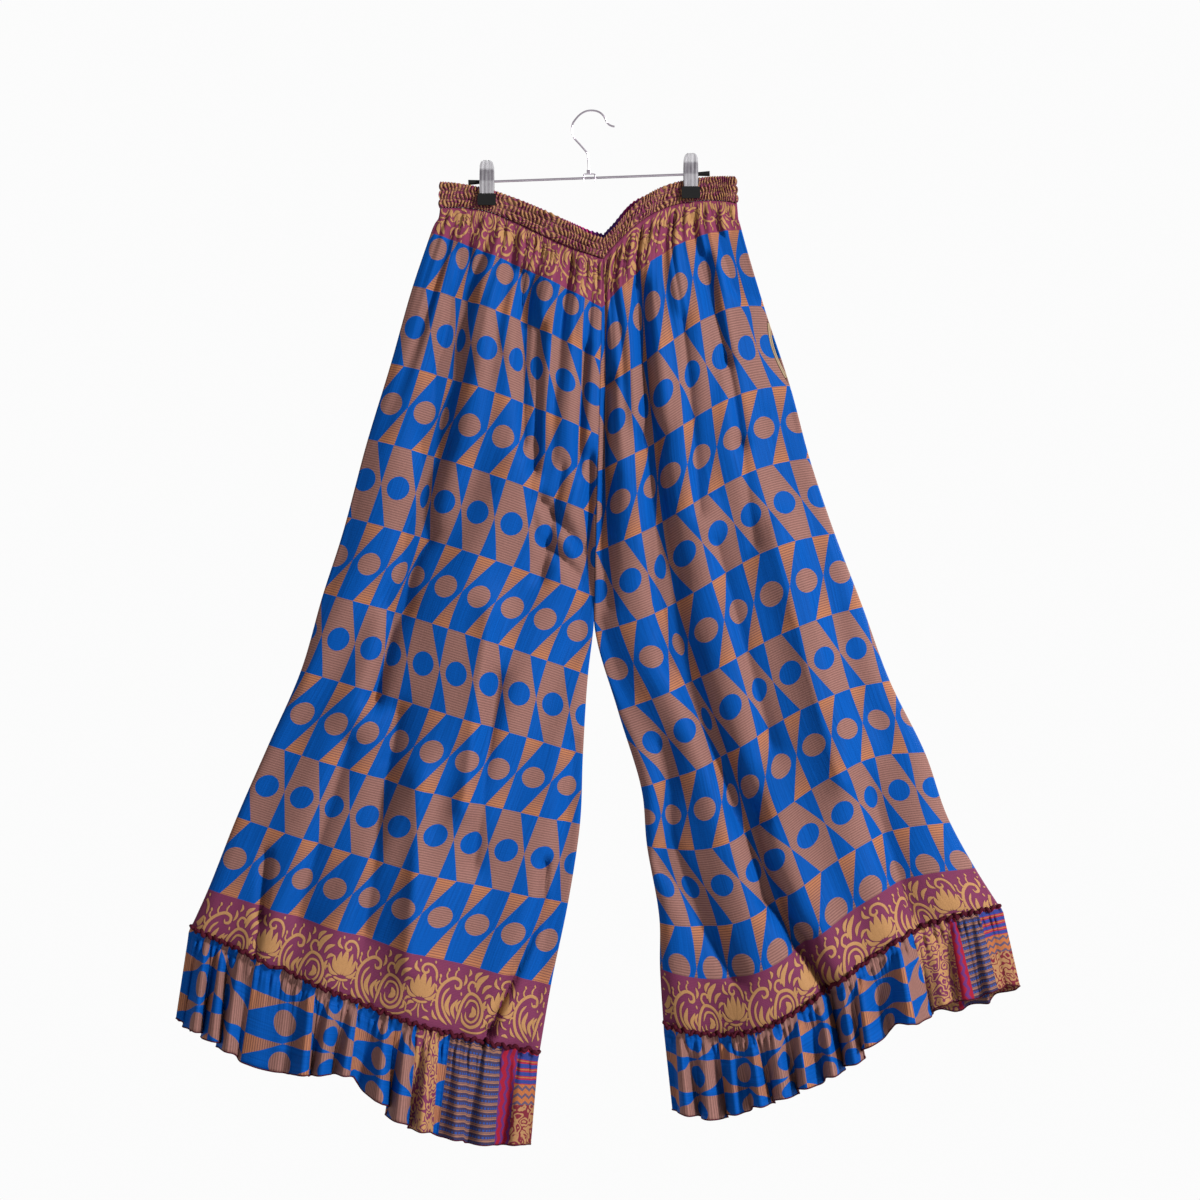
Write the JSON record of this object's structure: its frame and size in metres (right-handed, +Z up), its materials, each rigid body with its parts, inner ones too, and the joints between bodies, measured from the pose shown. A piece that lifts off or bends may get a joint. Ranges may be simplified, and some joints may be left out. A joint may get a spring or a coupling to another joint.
{
  "type": "palazzo pants on a clip hanger",
  "caption": "Wide-leg silk palazzo pants with a shirred elastic waist and gathered hem ruffles, hung by the waist from a metal clip hanger, back side shown",
  "frame": {"origin": "inside of the top of the hanger hook, where the hanger is held", "axes": "X along the hanger rod, Y from the back of the garment to its front, Z up"},
  "size_m": [1.0128, 0.1288, 1.2415],
  "materials": {
    "silk": "soft sheen, woven print",
    "waist_silk": "soft sheen, shirred",
    "pocket_cloth": "matte",
    "chrome": "polished",
    "clear_plastic": "glossy, half clear",
    "black_rubber": "matte"
  },
  "bodies": {
    "root": {"waistband_back": "waist_silk", "waistband_front": "waist_silk", "panel_left_back": "silk", "panel_left_front": "silk", "panel_right_back": "silk", "panel_right_front": "silk", "ruffle_left_back": "silk", "ruffle_left_front": "silk", "ruffle_right_back": "silk", "ruffle_right_front": "silk", "pocket_facing": "pocket_cloth", "pocket_bag": "pocket_cloth", "hanger_rod": "chrome", "hanger_hook": "chrome", "hanger_collar": "chrome", "hanger_saddle": "chrome", "spring_left": "chrome", "spring_right": "chrome", "end_cap_left": "black_rubber", "end_cap_right": "black_rubber", "foot_left_back": "black_rubber", "foot_left_front": "black_rubber", "foot_right_back": "black_rubber", "foot_right_front": "black_rubber", "jaw_left_back": "clear_plastic", "jaw_left_front": "clear_plastic", "jaw_right_back": "clear_plastic", "jaw_right_front": "clear_plastic"}
  },
  "joints": []
}
